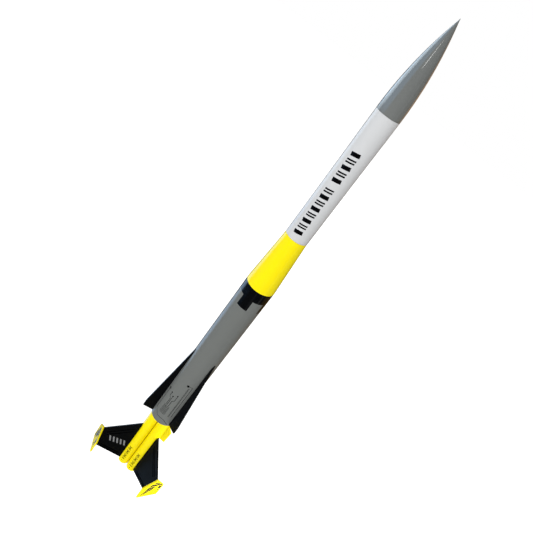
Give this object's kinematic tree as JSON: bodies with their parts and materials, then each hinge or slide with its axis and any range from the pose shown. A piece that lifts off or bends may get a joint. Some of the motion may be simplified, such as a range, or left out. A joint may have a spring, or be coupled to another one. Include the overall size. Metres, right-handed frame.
{
  "type": "model rocket",
  "caption": "Slender model rocket: pointed nose, stepped body with a conical transition, clustered motor tubes, swept fins with tip plates and long strakes.",
  "frame": {"origin": "on the centreline, in the plane of the motor tubes' aft ends, on which the rocket stands", "axes": "+Z along the centreline towards the nose, +Y along the fin opposite the other two, +X completes a right-handed frame"},
  "size_m": [0.1494, 0.1294, 0.8555],
  "materials": {
    "grey_paint": "glossy mid grey paint",
    "white_paint": "glossy white paint",
    "yellow_paint": "glossy bright yellow paint",
    "black_paint": "satin black paint over sealed balsa",
    "kraft_paper": "brown kraft paper, wound",
    "card": "dense tan card",
    "birch": "plain birch dowel",
    "clay": "pressed grey clay",
    "steel_wire": "bright zinc-plated steel",
    "elastic": "woven elastic",
    "chute_cloth": "thin orange ripstop nylon",
    "tissue": "flameproof crepe tissue",
    "nose_plastic": "unpainted off-white plastic"
  },
  "bodies": {
    "airframe": {"lower_body_tube": "grey_paint", "upper_body_tube": "white_paint", "transition": "yellow_paint", "motor_tube_1": "yellow_paint", "motor_tube_2": "yellow_paint", "motor_tube_3": "yellow_paint", "thrust_ring_1": "card", "thrust_ring_2": "card", "thrust_ring_3": "card", "cluster_core_rod": "birch", "aft_cluster_ring": "card", "forward_cluster_ring": "card", "fin_1": "black_paint", "fin_2": "black_paint", "fin_3": "black_paint", "tip_plate_1": "yellow_paint", "tip_plate_2": "yellow_paint", "tip_plate_3": "yellow_paint", "strake_1": "black_paint", "strake_2": "black_paint", "strake_3": "black_paint", "launch_lug_aft": "grey_paint", "launch_lug_forward": "grey_paint", "wadding": "tissue", "parachute": "chute_cloth", "shock_cord_mount": "card", "shock_cord_coil": "elastic", "shock_cord_lead": "elastic"},
    "nose": {"nose_cone": "grey_paint", "nose_base_plug": "nose_plastic", "screw_eye": "steel_wire"},
    "motor_1": {"motor_casing_1": "kraft_paper", "motor_nozzle_1": "clay"},
    "motor_2": {"motor_casing_2": "kraft_paper", "motor_nozzle_2": "clay"},
    "motor_3": {"motor_casing_3": "kraft_paper", "motor_nozzle_3": "clay"}
  },
  "joints": [
    {"name": "nose_slide", "type": "slide", "parent": "airframe", "child": "nose", "axis": [0, 0, 1], "range_m": [0, 0.046], "deforming": ["shock_cord_lead"]},
    {"name": "motor_1_slide", "type": "slide", "parent": "airframe", "child": "motor_1", "axis": [0, 0, -1], "range_m": [0, 0.075]},
    {"name": "motor_2_slide", "type": "slide", "parent": "airframe", "child": "motor_2", "axis": [0, 0, -1], "range_m": [0, 0.075]},
    {"name": "motor_3_slide", "type": "slide", "parent": "airframe", "child": "motor_3", "axis": [0, 0, -1], "range_m": [0, 0.075]}
  ]
}
